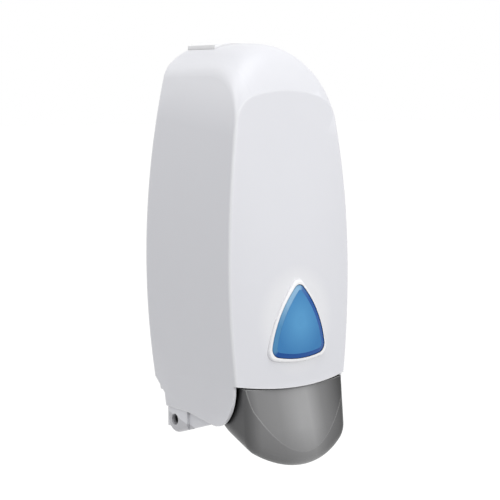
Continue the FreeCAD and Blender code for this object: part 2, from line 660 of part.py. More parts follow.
def lever_shape():
    """The lever in one piece: mask, shelf, pivot tube and the fork under the pump's collar."""
    y, z = size("pivot_y"), size("pivot_z")
    half = size("lever_tube_half")
    pieces = [bore(size("lever_tube_radius"), half, y, z)]
    pieces += lever_shelf(size("edge_z") - size("edge_drop") - size("lever_gap"))
    low = z + size("fork_rise") - size("fork_height")
    for start in (size("fork_inner_x"), -size("fork_inner_x") - size("fork_width")):
        pieces.append(Part.makeBox(size("fork_width"), size("fork_tip_y") - y, size("fork_height"),
                                   Vector(start, y, low)))
    body = lever_mask().fuse(pieces)
    tools = [bore(size("pivot_rod_radius") + size("rod_clearance"), half + OVER, y, z)]
    for side in (1, -1):
        tools.append(Part.makeCylinder(size("boss_radius") + 2 * size("boss_gap"), FAR,
                                       Vector(side * half, y, z), Vector(side, 0, 0)))
    return body.cut(tools).removeSplitter()


# ---------------------------------------------------------------- back plate
def hood_section(y, apex, end, inset):
    half = size("hood_half_width") - inset
    low = size("hood_low_z")
    left, right = Vector(-half, y, end - inset), Vector(half, y, end - inset)
    return Part.Wire([arc(left, Vector(0, y, apex - inset), right)]
                     + lines([right, Vector(half, y, low), Vector(-half, y, low), left], closed=False))


def hood_form(inset):
    apex, end = size("hood_apex_z"), size("hood_end_z")
    front = hood_section(inset - size("hood_depth"), size("hood_front_apex_z"), size("hood_front_end_z"),
                         inset)
    return Part.makeLoft([hood_section(0, apex, end, inset),
                          hood_section(-size("hood_flat_depth"), apex, end, inset), front], True, True)


def hood():
    """The raised cap at the top of the back plate, hollow over the latch, with the key slot."""
    wall = size("hood_wall")
    plate = size("plate_thickness")
    before_plate = Part.makeBox(2 * FAR, 2 * FAR, 4 * FAR, Vector(-FAR, -2 * FAR - plate, 0))
    cap = hood_form(0.0).cut(hood_form(wall).common(before_plate))
    width, depth = size("key_slot_width"), size("key_slot_depth")
    slot = Part.makeBox(width, depth, FAR, Vector(-width / 2, size("key_slot_y") - depth / 2,
                                                  size("hood_front_apex_z") - FAR / 3))
    half = size("latch_half_width") + size("latch_gap")
    top = size("latch_top_z") + size("latch_gap")
    reach = size("latch_height") + size("latch_travel") + 2 * size("latch_gap")
    nose_way = Part.makeBox(2 * half, 2 * wall, reach,
                            Vector(-half, -size("hood_depth") - wall / 2, top - reach))
    return cap.cut([slot, nose_way])


def plate_form(inset):
    """What the plate and its rim fill inside the cover, following its wall forward."""
    room = size("cover_wall") + size("plate_gap") + inset
    share = size("plate_rim_depth") / size("cover_depth")
    return Part.makeLoft([cover_section(0.0, room), cover_section(share, room)], True, True)


def tray():
    """The plate on the wall with the rim that stiffens it, cut off above the hinge."""
    thick = size("plate_thickness")
    hollow = plate_form(size("plate_rim_wall")).translated(Vector(0, -thick, 0))
    below = Part.makeBox(4 * FAR, 2 * FAR, 2 * FAR, Vector(-2 * FAR, -FAR, size("plate_low_z") - 2 * FAR))
    return plate_form(0.0).cut([hollow, below])


def hinge_cheek(side):
    """One of the two cheeks at the plate's foot that hold the hinge pins."""
    thickness = size("cheek_thickness")
    y, z, radius = size("hinge_y"), size("hinge_z"), size("cheek_radius")
    rear = -size("plate_thickness")
    root = size("plate_low_z") + size("cheek_root")
    under = Vector(0, y, z - radius)
    front = Vector(0, y - radius, z)
    corners = [under, Vector(0, 0, z - radius), Vector(0, 0, root), Vector(0, rear, root),
               Vector(0, y - radius, z + radius), front]
    round_front = arc(front, Vector(0, y - radius * SLANT, z - radius * SLANT), under)
    outer = size("ear_inner_x") - size("cheek_gap")
    return prism_x(lines(corners, closed=False) + [round_front],
                   *sorted((side * outer, side * (outer - thickness))))


def latch_guides():
    """The shelf under the latch's spring and the two ribs that the tongue slides between."""
    rib = size("latch_rib")
    half = size("latch_half_width") + size("latch_gap") + rib
    front = size("latch_nose_y") + size("latch_nose_length")
    low = size("shelf_z")
    rise = size("latch_top_z") - low + size("latch_rib_rise")
    pieces = [Part.makeBox(2 * half, -front, size("shelf_thickness"), Vector(-half, front, low))]
    for x in (-half, half - rib):
        pieces.append(Part.makeBox(rib, -front, rise, Vector(x, front, low)))
    return pieces


def plate_bores():
    """Four wall screw holes, two cradle screw holes and the hinge pins' bore."""
    spots = []
    for side in (-1, 1):
        for row in (-1, 1):
            spots.append((side * size("screw_spacing_x") / 2, row * size("screw_spacing_z") / 2,
                          size("wall_screw_radius")))
        spots.append((side * size("cradle_screw_x"), size("cradle_z") - size("cradle_screw_drop"),
                      size("cradle_screw_radius") + size("screw_clearance")))
    holes = [Part.makeCylinder(radius, FAR, Vector(x, FAR / 2, z), Vector(0, -1, 0))
             for x, z, radius in spots]
    holes.append(bore(size("hinge_pin_radius") + size("pin_clearance") / 2, FAR,
                      size("hinge_y"), size("hinge_z")))
    return holes


def back_plate():
    """The wall plate in one piece: tray, foot, hinge cheeks, latch guides and hood."""
    thick = size("plate_thickness")
    outer = size("ear_inner_x") - size("cheek_gap")
    low = size("hinge_z") - size("cheek_radius")
    foot = Part.makeBox(2 * outer, thick, size("plate_low_z") + JOIN - low, Vector(-outer, -thick, low))
    plate = tray().fuse([hood(), foot, hinge_cheek(1), hinge_cheek(-1)] + latch_guides())
    return plate.cut(plate_bores()).removeSplitter()


# ---------------------------------------------------------------- latch
def latch_tongue():
    """A sliding tongue with a sloped nose, pressed down by the key through the slot."""
    top = "latch_top_z"
    across = ("-latch_half_width", "latch_half_width")
    root = "latch_nose_y + latch_nose_length"
    body = block("Tongue_body", across, (root, "latch_rear_y"), (top + " - latch_height", top))
    nose = block("Tongue_nose", across, ("latch_nose_y", root), (top + " - latch_nose_height", top))
    post = upright("Tongue_post", "latch_spring_radius - 2 * latch_spring_wire - latch_post_gap",
                   top + " - latch_height - latch_post_length", top + " - latch_height",
                   y="(latch_rear_y + latch_nose_y + latch_nose_length) / 2")
    return node("latch_tongue", fuse("Tongue", [body, nose, post]))


def coil(name, radius, wire, turns, low, high, y):
    """A compression spring standing on its end, between two faces, in quarter-turn arcs."""
    rise = high - low - 2 * wire
    steps = int(4 * turns)

    def on_helix(step):
        angle = math.radians(90 * step)
        return Vector(radius * math.cos(angle), y + radius * math.sin(angle),
                      low + wire + rise * step / steps)

    edges = [arc(on_helix(step), on_helix(step + 0.5), on_helix(step + 1)) for step in range(steps)]
    start = Part.Wire(Part.makeCircle(wire, on_helix(0), edges[0].tangentAt(0)))
    return shaped(name, Part.Wire(edges).makePipeShell([start], True, False))


def latch_spring():
    low = size("shelf_z") + size("shelf_thickness")
    high = size("latch_top_z") - size("latch_height")
    y = (size("latch_rear_y") + size("latch_nose_y") + size("latch_nose_length")) / 2
    wire = size("latch_spring_wire")
    return node("latch_spring", coil("Latch_coil", size("latch_spring_radius") - wire, wire,
                                     size("latch_spring_turns"), low, high, y))


# ---------------------------------------------------------------- pins, rod and screws
def hinge_pins():
    reach = "ear_outer_x - hinge_pin_recess"
    inner = "ear_inner_x - cheek_gap - cheek_thickness - hinge_pin_end"
    right = crosswise("Pin_right", "hinge_pin_radius", inner, reach, "hinge_y", "hinge_z")
    left = crosswise("Pin_left", "hinge_pin_radius", "-(%s)" % reach, "-(%s)" % inner, "hinge_y", "hinge_z")
    return node("hinge_pins", group("Pins", [right, left]))


def pivot_rod():
    rod = crosswise("Rod", "pivot_rod_radius", "-rod_half_length", "rod_half_length", "pivot_y", "pivot_z")
    return node("lever_pivot_rod", rod)


def cradle_screws():
    screws = []
    for tag, sign in (("right", ""), ("left", "-")):
        x = sign + "cradle_screw_x"
        z = "cradle_z - cradle_screw_drop"
        face = "-plate_thickness - cradle_flange_thickness"
        shank = lengthwise("Shank_" + tag, "cradle_screw_radius", "-screw_end_gap", face, x, z)
        head = lengthwise("Head_" + tag, "cradle_screw_head", face, face + " - cradle_screw_head_height",
                          x, z)
        screws.append(fuse("Screw_" + tag, [shank, head]))
    return node("cradle_screws", group("Screws", screws))


# ---------------------------------------------------------------- cradle, bottle and pump
def bottle_cradle():
    """A bracket on the back plate whose shelf carries the refill by its cap."""
    rear = "-plate_thickness"
    top = "cradle_z"
    shelf = block("Shelf", ("-cradle_half_width", "cradle_half_width"), ("cradle_front_y", rear),
                  (top + " - cradle_thickness", top))
    flange = block("Flange", ("-cradle_half_width", "cradle_half_width"),
                   (rear + " - cradle_flange_thickness", rear), (top + " - cradle_flange_height", top))
    below, above = top + " - cradle_thickness - %s" % OVER, top + " + %s" % OVER
    seat = upright("Seat", "cradle_hole_radius", below, above)
    mouth = block("Mouth", ("-cradle_hole_radius", "cradle_hole_radius"),
                  ("cradle_front_y - %s" % OVER, "pump_y"), (below, above))
    bores = []
    for tag, sign in (("right", ""), ("left", "-")):
        bores.append(lengthwise("Flange_bore_" + tag, "cradle_screw_radius + screw_clearance", str(OVER),
                                str(-FAR), sign + "cradle_screw_x", top + " - cradle_screw_drop"))
    solid = fuse("Bracket", [shelf, flange] + gussets())
    return node("bottle_cradle", cut("Cradle", solid, [seat, mouth] + bores))


def gussets():
    """Two triangular cheeks that stiffen the cradle's shelf against its flange."""
    rear = -size("plate_thickness") - size("cradle_flange_thickness") + JOIN
    high = size("cradle_z") - size("cradle_thickness") + JOIN
    low = size("cradle_z") - size("cradle_flange_height")
    points = [Vector(0, rear, high), Vector(0, rear, low), Vector(0, rear - size("gusset_reach"), high)]
    half = size("cradle_half_width")
    cheeks = []
    for x in (-half, half - size("gusset_thickness")):
        cheeks.append(shaped("Gusset", prism_x(lines(points), x, x + size("gusset_thickness"))))
    return cheeks


def bottle_form(inset):
    """A square-shouldered bottle, neck down, or the space inside its wall."""
    half, depth = size("bottle_half_width") - inset, size("bottle_half_depth") - inset
    low, high = size("bottle_shoulder_z"), size("bottle_top_z") - inset
    y = size("pump_y")
    body = Part.makeBox(2 * half, 2 * depth, high - low, Vector(-half, y - depth, low))
    upright_edges = [e for e in body.Edges if e.BoundBox.ZLength > (high - low) / 2]
    body = body.makeFillet(size("bottle_corner_radius") - inset, upright_edges)
    top_edges = [e for e in body.Edges if e.BoundBox.ZMin > high - TINY]
    body = body.makeFillet(size("bottle_top_radius") - inset, top_edges)
    shoulder = Part.makeCone(size("neck_radius") - inset, depth - JOIN, low - size("neck_top_z"),
                             Vector(0, y, size("neck_top_z")))
    neck_inset = 0.0 if inset == 0 else size("neck_wall")
    neck = Part.makeCylinder(size("neck_radius") - neck_inset, size("neck_top_z") - size("neck_low_z"),
                             Vector(0, y, size("neck_low_z")))
    return body.fuse([shoulder, neck]).removeSplitter()


def refill_bottle():
    return node("refill_bottle", shaped("Bottle", bottle_form(0.0).cut(bottle_form(size("bottle_wall")))))


def pump_cap():
    """The screw cap that holds the pump in the bottle's neck."""
    low = "cradle_z"
    skirt = upright("Cap_skirt", "cap_radius", low, "cap_top_z")
    hollow = upright("Cap_hollow", "neck_radius + cap_gap", low + " + cap_floor", "cap_top_z + %s" % OVER)
    hole = upright("Cap_hole", "chamber_radius + cap_gap", low + " - %s" % OVER, "cap_top_z")
    body = cut("Cap_body", skirt, [hollow, hole])
    groove = upright("Cap_groove", "cap_groove_radius", low + " - %s" % OVER, "cap_top_z + %s" % OVER,
                     x="cap_radius + cap_groove_out")
    return node("pump_cap", knurled(body, groove))


def knurled(body, groove):
    """Grip flutes round the cap: one groove repeated round its axis."""
    doc.recompute()
    flutes = []
    centre = Vector(0, size("pump_y"), 0)
    count = int(size("cap_ribs"))
    for turn in range(count):
        flute = groove.Shape.copy()
        flute.rotate(centre, Vector(0, 0, 1), 360.0 * turn / count)
        flutes.append(flute)
    return cut("Cap", body, [shaped("Flutes", Part.makeCompound(flutes))])


def neck_gasket():
    top = "neck_low_z"
    ring = upright("Gasket_ring", "neck_radius", top + " - gasket_thickness", top)
    hole = upright("Gasket_hole", "chamber_radius + cap_gap", top + " - gasket_thickness - %s" % OVER,
                   top + " + %s" % OVER)
    return node("neck_gasket", cut("Gasket", ring, [hole]))


def pump_body():
    """The pump's chamber: a flanged cylinder that hangs in the neck, closed by its inlet."""
    flange_top = "neck_low_z - gasket_thickness"
    barrel = upright("Chamber_barrel", "chamber_radius", "chamber_low_z", "chamber_top_z")
    flange = upright("Chamber_flange", "neck_radius - flange_gap", flange_top + " - flange_thickness",
                     flange_top)
    cage = upright("Cage", "cage_radius", "chamber_top_z", "cage_top_z")
    hollow = upright("Chamber_bore", "chamber_bore", "chamber_low_z + chamber_end",
                     "chamber_top_z - chamber_end")
    gland = upright("Gland", "stem_radius + stem_gland", "chamber_low_z - %s" % OVER,
                    "chamber_low_z + chamber_end + %s" % JOIN)
    inlet = upright("Inlet", "inlet_radius", "chamber_top_z - chamber_end - %s" % JOIN,
                    "chamber_top_z + %s" % JOIN)
    pocket = upright("Ball_pocket", "cage_bore", "chamber_top_z", "cage_top_z - cage_end")
    port = crosswise("Cage_port", "cage_port_radius", "-cage_radius - %s" % OVER, "cage_radius + %s" % OVER,
                     "pump_y", "chamber_top_z + cage_port_rise")
    return node("pump_body", cut("Chamber", fuse("Chamber_form", [barrel, flange, cage]),
                                 [hollow, gland, inlet, pocket, port]))


def inlet_ball():
    ball = doc.addObject("Part::Sphere", "Ball")
    set_sizes(ball, Radius="ball_radius", Base_y="pump_y",
              Base_z="chamber_top_z + sqrt(ball_radius ^ 2 - inlet_radius ^ 2) + ball_gap")
    return node("inlet_ball", ball)


def pump_stem():
    """The hollow stem that stands on the nozzle's collar and carries the piston."""
    top = "piston_z + piston_height"
    tube = upright("Stem_tube", "stem_radius", "collar_z + collar_thickness", "piston_z")
    spigot = upright("Stem_spigot", "spigot_radius", "piston_z", top)
    hollow = upright("Stem_bore", "stem_bore", "collar_z", top + " + %s" % OVER)
    return node("pump_stem", cut("Stem", fuse("Stem_form", [tube, spigot]), [hollow]))


def piston():
    """The grooved piston, pressed on the stem's spigot."""
    top = "piston_z + piston_height"
    disc = upright("Piston_disc", "chamber_bore - piston_gap", "piston_z", top)
    hole = upright("Piston_hole", "spigot_radius", "piston_z - %s" % OVER, top + " + %s" % OVER)
    middle = "piston_z + piston_height / 2"
    band = upright("Groove_band", "chamber_bore + %s" % OVER, middle + " - seal_section - seal_gap",
                   middle + " + seal_section + seal_gap")
    core = upright("Groove_core", "chamber_bore - 2 * seal_section - 2 * seal_gap",
                   middle + " - seal_section - %s" % OVER, middle + " + seal_section + %s" % OVER)
    return node("piston", cut("Piston_body", disc, [hole, cut("Groove", band, [core])]))


def piston_seal():
    ring = doc.addObject("Part::Torus", "Seal")
    set_sizes(ring, Radius1="chamber_bore - seal_section - seal_gap", Radius2="seal_section",
              Base_y="pump_y", Base_z="piston_z + piston_height / 2")
    return node("piston_seal", ring)


def pump_spring():
    low = size("piston_z") + size("piston_height")
    high = size("chamber_top_z") - size("chamber_end")
    return node("pump_spring", coil("Pump_coil", size("spring_radius"), size("spring_wire"),
                                    size("spring_turns"), low, high, size("pump_y")))


def nozzle_collar():
    """The disc that the lever's fork lifts, in one piece with the nozzle tube."""
    disc = upright("Disc", "collar_radius", "collar_z", "collar_z + collar_thickness")
    tube = upright("Nozzle_tube", "nozzle_radius", "nozzle_low_z", "collar_z")
    bore_in = upright("Nozzle_bore", "nozzle_bore", "nozzle_low_z - %s" % OVER, "collar_z")
    inlet = upright("Nozzle_inlet", "stem_bore", "collar_z - %s" % JOIN,
                    "collar_z + collar_thickness + %s" % OVER)
    return node("nozzle_collar", cut("Nozzle", fuse("Nozzle_form", [disc, tube]), [bore_in, inlet]))


def foam_meshes():
    discs = []
    for index in range(int(size("mesh_count"))):
        z = "mesh_z + %d * mesh_spacing" % index
        discs.append(upright("Mesh_%d" % index, "nozzle_bore - mesh_gap", z, z + " + mesh_thickness"))
    return node("foam_meshes", group("Meshes", discs))


def nozzle_tip():
    """The tapered tip that is pushed into the nozzle tube from below."""
    low = "nozzle_low_z - tip_length"
    taper = cone("Tip_taper", "tip_radius", "nozzle_radius", low, "nozzle_low_z")
    plug = upright("Tip_plug", "nozzle_bore - tip_gap", "nozzle_low_z", "nozzle_low_z + tip_plug_length")
    hole = upright("Tip_bore", "tip_bore", low + " - %s" % OVER,
                   "nozzle_low_z + tip_plug_length + %s" % OVER)
    return node("nozzle_tip", cut("Tip", fuse("Tip_form", [taper, plug]), [hole]))


# ---------------------------------------------------------------- the whole dispenser
def build():
    node("back_plate", shaped("Back_plate", back_plate()))
    node("cover", shaped("Cover", cover_shell()))
    node("window_lens", shaped("Lens", window_lens()))
    node("push_lever", shaped("Lever", lever_shape()))
    for make in (pivot_rod, hinge_pins, latch_tongue, latch_spring, bottle_cradle, cradle_screws,
                 refill_bottle, pump_cap, neck_gasket, pump_body, inlet_ball, pump_stem, piston,
                 piston_seal, pump_spring, nozzle_collar, foam_meshes, nozzle_tip):
        make()


def check_and_export():
    doc.recompute()
    for thing in doc.Objects:
        if "Invalid" in thing.State or "Error" in thing.State:
            raise RuntimeError("failed object: %s %s" % (thing.Name, thing.State))
    for thing in NODES:
        if thing.Shape.isNull() or not thing.Shape.isValid():
            raise RuntimeError("bad shape: " + thing.Label)
    os.makedirs("parts", exist_ok=True)
    for thing in NODES:
        thing.Shape.exportStep("parts/%s.step" % thing.Label)


def main():
    build()
    check_and_export()


main()
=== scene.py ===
"""Looks of the wall mounted soap dispenser: finishes, small surface detail, light and camera.

Metres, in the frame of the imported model: +X to the right, +Y into the wall, +Z up.
"""
import bpy
import math
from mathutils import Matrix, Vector


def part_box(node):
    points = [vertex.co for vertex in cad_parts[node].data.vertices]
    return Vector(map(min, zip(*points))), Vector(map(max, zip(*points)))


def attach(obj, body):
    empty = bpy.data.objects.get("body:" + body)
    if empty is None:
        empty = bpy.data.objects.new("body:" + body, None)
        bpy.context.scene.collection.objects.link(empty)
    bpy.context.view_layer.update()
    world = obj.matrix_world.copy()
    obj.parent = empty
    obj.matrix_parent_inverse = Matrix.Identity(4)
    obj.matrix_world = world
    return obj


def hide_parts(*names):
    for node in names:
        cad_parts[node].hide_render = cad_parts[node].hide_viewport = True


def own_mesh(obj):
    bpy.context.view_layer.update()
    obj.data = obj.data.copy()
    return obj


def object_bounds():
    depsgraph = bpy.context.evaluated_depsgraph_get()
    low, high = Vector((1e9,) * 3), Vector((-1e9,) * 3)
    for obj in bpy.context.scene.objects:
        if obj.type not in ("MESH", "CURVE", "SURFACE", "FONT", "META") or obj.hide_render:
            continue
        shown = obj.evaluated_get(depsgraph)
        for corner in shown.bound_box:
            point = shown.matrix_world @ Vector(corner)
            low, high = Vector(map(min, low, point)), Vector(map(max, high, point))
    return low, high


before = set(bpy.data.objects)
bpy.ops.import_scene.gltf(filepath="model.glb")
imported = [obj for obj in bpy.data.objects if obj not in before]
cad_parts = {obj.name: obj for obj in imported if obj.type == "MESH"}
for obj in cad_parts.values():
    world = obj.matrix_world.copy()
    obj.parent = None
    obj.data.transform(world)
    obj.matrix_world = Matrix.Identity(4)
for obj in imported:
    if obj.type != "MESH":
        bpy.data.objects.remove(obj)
cad_low, cad_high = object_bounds()
scene = bpy.context.scene

# Colours, as linear red, green and blue
COVER_WHITE = (0.785, 0.79, 0.83)
RING_HALO_WHITE = (0.93, 0.93, 0.94)
SHOULDER_LIGHT_WHITE = (0.90, 0.905, 0.945)
RAISED_HIGHLIGHT_WHITE = (0.97, 0.97, 0.98)
EAR_SHADE_GREY = (0.60, 0.60, 0.63)
GAP_SHADE = (0.03, 0.03, 0.032)
PLATE_WHITE = (0.79, 0.79, 0.82)
CAP_LIGHT_WHITE = (0.95, 0.95, 0.96)
LENS_MIDDLE = (0.110, 0.365, 0.67)
LENS_OUTER = (0.050, 0.22, 0.50)
LENS_SHADED_FACET = (0.006, 0.085, 0.36)
LENS_LIT_FACET = (0.24, 0.46, 0.68)
LENS_LIT_FLANK = (0.09, 0.28, 0.52)
LENS_RIM_SHADE = (0.006, 0.035, 0.16)
LENS_CLOUD = (0.03, 0.16, 0.38)
LEVER_GREY = (0.150, 0.150, 0.152)
LEVER_LEFT_SHADE = (0.090, 0.090, 0.092)
LEVER_RIGHT_SHADE = (0.030, 0.030, 0.031)
LEVER_EDGE_HIGHLIGHT = (0.40, 0.40, 0.40)
LEVER_CHIN_SHADE = (0.07, 0.07, 0.07)
LEVER_GAP_SHADE = (0.004, 0.004, 0.004)
NATURAL = (0.62, 0.63, 0.65)
ACETAL = (0.55, 0.55, 0.56)
BOTTLE = (0.72, 0.75, 0.78)
PIN_BLACK_AS_SHADE = (0.006, 0.006, 0.006)
RUBBER = (0.03, 0.03, 0.03)
MESH = (0.7, 0.7, 0.7)
STEEL = (0.55, 0.55, 0.57)
SPRING_STEEL = (0.5, 0.5, 0.52)
FLOOR_COLOUR = (0.8, 0.8, 0.8)
PURE_WHITE = (1, 1, 1)

# Painted sheen and shade across the lever: place from its left end (0) to its right end (1), and its grey
# there
LEVER_SHEEN = (
    (0.10, 0.19), (0.30, 0.23), (0.50, 0.34), (0.60, 0.36),
    (0.74, 0.20), (0.88, 0.11), (0.96, 0.05),
)

# Surface detail
EDGE_RADIUS = 0.0006
BEVEL_SAMPLES = 4
GAP_SAMPLES = 8
NOISE_LOW, NOISE_HIGH = 0.3, 0.7  # the middle range of a noise, in which most of it lies
EDGE_WEAR_AND_HIGHLIGHT_LIFT = 1.05  # how much paler a sharp edge is, as wear and as a painted highlight
GLOSSIER, DULLER = 0.85, 1.15  # how far a moulding's roughness wanders
LEFT_WEIGHT = 0.7  # how much a lens facet that faces left counts beside one that faces up, in the painted light on the facets

# Places on the pieces, from an end of the piece's box where nothing else is said
FRAME_FACE_DEPTH = 0.0017  # back from the cover's foremost face to the raised frame's edge
FRAME_FACE_FADE = 0.0003
RING_START, RING_END = 0.024, 0.033  # out from the window's centre
SHOULDER_DROP, SHOULDER_FADE = 0.0218, 0.030  # down from the cover's top
SHOULDER_SLOPE = 0.13
EAR_RISE, EAR_FADE = 0.0166, 0.0011  # up from the cover's foot
EAR_SLOPE = 0.253
CAP_OVERLAP, CAP_FADE = 0.005, 0.002  # down from the cover's top, on the plate's cap
CHIN_START, CHIN_END = 0.006, 0.026  # up from the lever's foot
FLANK_LOW, FLANK_HIGH = 0.45, 0.70  # shares of the lens's height

# The springs: which joint closes them, how far, and which end stays still (0 low, 1 high)
SPRINGS = (("pump_spring", "pump_stroke", 0.0121, 1), ("latch_spring", "latch_release", 0.004, 0))

# Stage and light
FLOOR_REACH = 30.0
FLOOR_DROP = 0.5
FLOOR_GLOW = 0.62  # brings the lit floor up to white, and leaves the shadow on it
WORLD_STRENGTH = 0.515
LAMP_AIM = (0, -0.05, 0)
LAMPS = (  # name, place, width, height, watts
    ("key", (0.3, -1.6, 0.7), 0.9, 0.9, 7.8),
    ("top", (-0.15, -0.55, 1.55), 1.2, 1.2, 9.5),
    ("fill", (-1.1, -0.2, 1.3), 1.0, 1.0, 4.0),
    ("strip", (1.15, -0.95, 0.75), 0.16, 1.2, 1.2),
)

# Camera
CAMERA_PLACE = (-0.6115, -0.8591, 0.110)
CAMERA_TURN = 37.0  # degrees round from straight ahead to the dispenser's left side
CAMERA_TIP = 6.10  # degrees downwards
FOCAL_LENGTH = 104.4  # millimetres, as is the sensor's width
SENSOR_WIDTH = 36.0

# Sockets of a colour mix, which share their names with those of its other kinds
MIX_FIRST, MIX_SECOND, MIX_RESULT = 6, 7, 2


# ---------------------------------------------------------------- node helpers
class Finish:
    """A procedural material: a Principled surface and the nodes that feed it."""

    def __init__(self, name):
        self.material = bpy.data.materials.new(name)
        self.material.use_nodes = True
        self.tree = self.material.node_tree
        self.surface = self.tree.nodes["Principled BSDF"]
        self.place = self.add("ShaderNodeTexCoord").outputs["Object"]

    def add(self, kind, **settings):
        made = self.tree.nodes.new(kind)
        for key, value in settings.items():
            setattr(made, key, value)
        return made

    def feed(self, socket, value):
        """Put another node's output, a number, a vector or a colour on a socket."""
        if isinstance(value, bpy.types.NodeSocket):
            self.tree.links.new(value, socket)
        elif socket.type == "RGBA":
            socket.default_value = (*value, 1)
        else:
            socket.default_value = value

    def set(self, **values):
        """Feed the surface's own sockets, whose names are written here with _ for a space."""
        for name, value in values.items():
            self.feed(self.surface.inputs[name.replace("_", " ")], value)

    def maths(self, operation, *values):
        made = self.add("ShaderNodeMath", operation=operation)
        for socket, value in zip(made.inputs, values):
            self.feed(socket, value)
        return made.outputs["Value"]

    # Values that vary over the piece
    def noise(self, scale, detail=3.0, stretch=(1, 1, 1)):
        """Noise in the object's own space, with about `scale` features to the metre."""
        mapping = self.add("ShaderNodeMapping")
        self.feed(mapping.inputs["Vector"], self.place)
        self.feed(mapping.inputs["Scale"], stretch)
        made = self.add("ShaderNodeTexNoise")
        self.feed(made.inputs["Vector"], mapping.outputs["Vector"])
        self.feed(made.inputs["Scale"], scale)
        self.feed(made.inputs["Detail"], detail)
        return made.outputs["Fac"]

    def along(self, axis):
        """Place on the piece along one axis, in metres."""
        split = self.add("ShaderNodeSeparateXYZ")
        self.feed(split.inputs["Vector"], self.place)
        return split.outputs[axis]

    def height_over_slope(self, slope):
        """Height in metres over a plane that rises towards the wall by this slope."""
        return self.maths("MULTIPLY_ADD", self.along("Y"), -slope, self.along("Z"))

    def facing(self, axis):
        """How far the surface faces along one of the piece's own axes, from -1 to 1."""
        split = self.add("ShaderNodeSeparateXYZ")
        self.feed(split.inputs["Vector"], self.add("ShaderNodeTexCoord").outputs["Normal"])
        return split.outputs[axis]

    def distance(self, piece, centre, stretch):
        """Distance in metres from a place on the piece, with each axis weighed by `stretch`."""
        low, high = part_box(piece)
        mapping = self.add("ShaderNodeMapping")
        self.feed(mapping.inputs["Vector"], self.add("ShaderNodeTexCoord").outputs["Generated"])
        self.feed(mapping.inputs["Scale"], [(b - a) * k for a, b, k in zip(low, high, stretch)])
        self.feed(mapping.inputs["Location"], [(a - c) * k for a, c, k in zip(low, centre, stretch)])
        length = self.add("ShaderNodeVectorMath", operation="LENGTH")
        self.feed(length.inputs[0], mapping.outputs["Vector"])
        return length.outputs["Value"]

    # Values turned into a range, a mask or a colour
    def mottled(self, low, high, scale, detail=3.0, stretch=(1, 1, 1)):
        """A number or a colour that wanders between two ends over the piece."""
        return self.spread(self.noise(scale, detail, stretch), NOISE_LOW, NOISE_HIGH, low, high)

    def spread(self, value, start, end, low=0.0, high=1.0):
        """Turn a value that runs from start to end into one between two numbers or two colours."""
        if isinstance(low, tuple):
            return self.spread_colours(value, start, end, low, high)
        made = self.add("ShaderNodeMapRange")
        self.feed(made.inputs["Value"], value)
        self.feed(made.inputs["From Min"], start)
        self.feed(made.inputs["From Max"], end)
        self.feed(made.inputs["To Min"], low)
        self.feed(made.inputs["To Max"], high)
        return made.outputs["Result"]

    def spread_colours(self, value, start, end, low, high):
        made = self.add("ShaderNodeValToRGB")
        first, last = made.color_ramp.elements
        first.position, last.position = start, end
        first.color, last.color = (*low, 1), (*high, 1)
        self.feed(made.inputs["Fac"], value)
        return made.outputs["Color"]

    def under(self, value, start, end):
        """A mask that is 1 up to the start and 0 from the end on."""
        return self.spread(value, start, end, low=1.0, high=0.0)

    def soft_edges(self, radius):
        made = self.add("ShaderNodeBevel", samples=BEVEL_SAMPLES)
        self.feed(made.inputs["Radius"], radius)
        return made.outputs["Normal"]

    def wear_and_highlight_edges(self, start, end):
        """A mask on outer edges, from the surface's own sharpness."""
        return self.spread(self.add("ShaderNodeNewGeometry").outputs["Pointiness"], start, end)

    def ridge(self, radius, start, end):
        """A mask along the edges of a shape, from how far they would turn if they were rounded."""
        turn = self.add("ShaderNodeVectorMath", operation="DOT_PRODUCT")
        self.feed(turn.inputs[0], self.soft_edges(radius))
        self.feed(turn.inputs[1], self.add("ShaderNodeNewGeometry").outputs["Normal"])
        return self.spread(turn.outputs["Value"], start, end)

    def crevice(self, reach, start, end):
        """A mask that is 1 deep in gaps between pieces and 0 in the open."""
        made = self.add("ShaderNodeAmbientOcclusion", samples=GAP_SAMPLES)
        self.feed(made.inputs["Distance"], reach)
        return self.under(made.outputs["AO"], start, end)

    def tint(self, factor, base, other):
        """The base colour where the factor is 0, and the other colour where it is 1."""
        made = self.add("ShaderNodeMix", data_type="RGBA")
        self.feed(made.inputs["Factor"], factor)
        self.feed(made.inputs[MIX_FIRST], base)
        self.feed(made.inputs[MIX_SECOND], other)
        return made.outputs[MIX_RESULT]

    # What is laid on the surface
    def recolour(self, mask, other, strength=1.0):
        """Lay another colour over the base colour where the mask is 1, as strongly as is said."""
        base = self.surface.inputs["Base Color"]
        factor = mask if strength == 1.0 else self.maths("MULTIPLY", mask, strength)
        self.feed(base, self.tint(factor, base.links[0].from_socket, other))

    def bump(self, value, strength, distance):
        """Fine relief, over edges that are softened as a mould leaves them."""
        made = self.add("ShaderNodeBump")
        self.feed(made.inputs["Normal"], self.soft_edges(EDGE_RADIUS))
        self.feed(made.inputs["Height"], value)
        self.feed(made.inputs["Strength"], strength)
        self.feed(made.inputs["Distance"], distance)
        self.set(Normal=made.outputs["Normal"])


# ---------------------------------------------------------------- finishes
def moulded(name, colour, roughness, grain=0.02, shade=0.96):
    """Moulded plastic: faint flow marks, a fine grain, slightly uneven gloss, and sharp edges that are
    paler, partly as wear and partly as a painted highlight.
    """
    finish = Finish(name)
    darker = tuple(channel * shade for channel in colour)
    scuffed_and_highlit = tuple(min(channel * EDGE_WEAR_AND_HIGHLIGHT_LIFT, 1.0) for channel in colour)
    flow = finish.mottled(darker, colour, scale=9, detail=4, stretch=(1, 1, 0.35))
    # Sharp edges paler, partly wear and partly a painted highlight.
    finish.set(Base_Color=finish.tint(finish.wear_and_highlight_edges(start=0.53, end=0.60), flow, scuffed_and_highlit))
    finish.set(Roughness=finish.mottled(roughness * GLOSSIER, roughness * DULLER, scale=55, detail=5))
    finish.bump(finish.noise(scale=2600, detail=2), strength=grain, distance=0.0004)
    return finish


